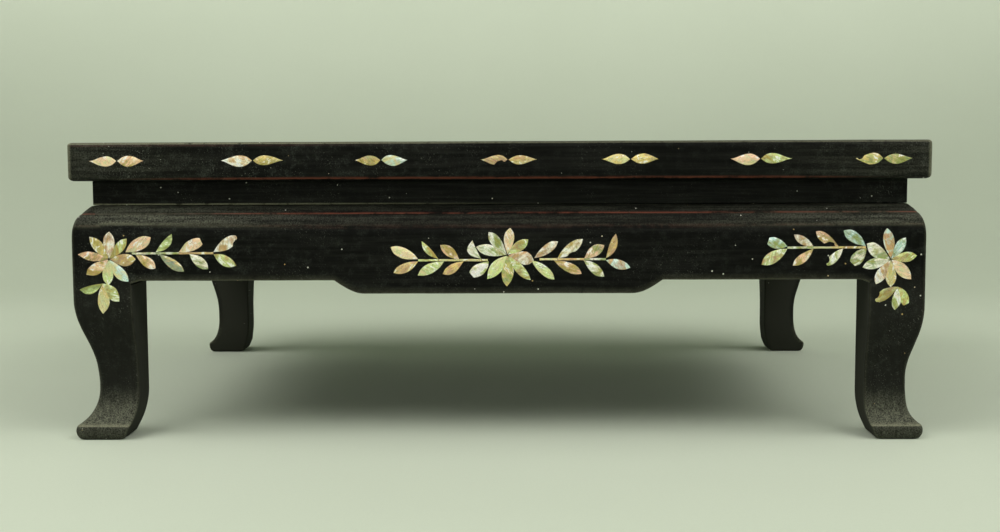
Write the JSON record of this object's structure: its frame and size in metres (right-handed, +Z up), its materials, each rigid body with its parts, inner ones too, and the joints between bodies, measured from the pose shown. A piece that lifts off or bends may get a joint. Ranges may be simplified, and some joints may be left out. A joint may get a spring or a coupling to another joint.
{
  "type": "quran stand",
  "caption": "Low, fixed reading stand: framed flat top over a set-back waist, curved aprons and out-turned legs, black lacquer with mother-of-pearl flower sprays.",
  "frame": {"origin": "on the floor under the middle of the stand", "axes": "+X to the stand's right as seen from the front, -Y towards the front, +Z up"},
  "size_m": [0.48, 0.366, 0.168],
  "materials": {
    "black_lacquer": "satin black lacquer over wood, brushed streaks, brown wear on the edges",
    "inner_wood": "bare dark wood, matte, stained",
    "mother_of_pearl": "polished iridescent shell"
  },
  "bodies": {
    "root": {"top_rail_front": "black_lacquer", "top_rail_back": "black_lacquer", "top_rail_left": "black_lacquer", "top_rail_right": "black_lacquer", "top_panel": "black_lacquer", "top_batten_left": "inner_wood", "top_batten_right": "inner_wood", "waist_front": "black_lacquer", "waist_back": "black_lacquer", "waist_left": "black_lacquer", "waist_right": "black_lacquer", "apron_front": "black_lacquer", "apron_back": "black_lacquer", "apron_left": "black_lacquer", "apron_right": "black_lacquer", "leg_front_left": "black_lacquer", "leg_front_right": "black_lacquer", "leg_back_left": "black_lacquer", "leg_back_right": "black_lacquer", "inlay_front_left_spray": "mother_of_pearl", "inlay_front_center_spray": "mother_of_pearl", "inlay_front_right_spray": "mother_of_pearl", "inlay_back_left_spray": "mother_of_pearl", "inlay_back_center_spray": "mother_of_pearl", "inlay_back_right_spray": "mother_of_pearl", "inlay_left_left_spray": "mother_of_pearl", "inlay_left_center_spray": "mother_of_pearl", "inlay_left_right_spray": "mother_of_pearl", "inlay_right_left_spray": "mother_of_pearl", "inlay_right_center_spray": "mother_of_pearl", "inlay_right_right_spray": "mother_of_pearl", "inlay_top_front_left_spray": "mother_of_pearl", "inlay_top_front_right_spray": "mother_of_pearl", "inlay_top_back_left_spray": "mother_of_pearl", "inlay_top_back_right_spray": "mother_of_pearl", "inlay_top_center_spray": "mother_of_pearl", "inlay_front_edge_pair_1": "mother_of_pearl", "inlay_front_edge_pair_2": "mother_of_pearl", "inlay_front_edge_pair_3": "mother_of_pearl", "inlay_front_edge_pair_4": "mother_of_pearl", "inlay_front_edge_pair_5": "mother_of_pearl", "inlay_front_edge_pair_6": "mother_of_pearl", "inlay_front_edge_pair_7": "mother_of_pearl", "inlay_back_edge_pair_1": "mother_of_pearl", "inlay_back_edge_pair_2": "mother_of_pearl", "inlay_back_edge_pair_3": "mother_of_pearl", "inlay_back_edge_pair_4": "mother_of_pearl", "inlay_back_edge_pair_5": "mother_of_pearl", "inlay_back_edge_pair_6": "mother_of_pearl", "inlay_back_edge_pair_7": "mother_of_pearl", "inlay_left_edge_pair_1": "mother_of_pearl", "inlay_left_edge_pair_2": "mother_of_pearl", "inlay_left_edge_pair_3": "mother_of_pearl", "inlay_left_edge_pair_4": "mother_of_pearl", "inlay_left_edge_pair_5": "mother_of_pearl", "inlay_right_edge_pair_1": "mother_of_pearl", "inlay_right_edge_pair_2": "mother_of_pearl", "inlay_right_edge_pair_3": "mother_of_pearl", "inlay_right_edge_pair_4": "mother_of_pearl", "inlay_right_edge_pair_5": "mother_of_pearl"}
  },
  "joints": []
}
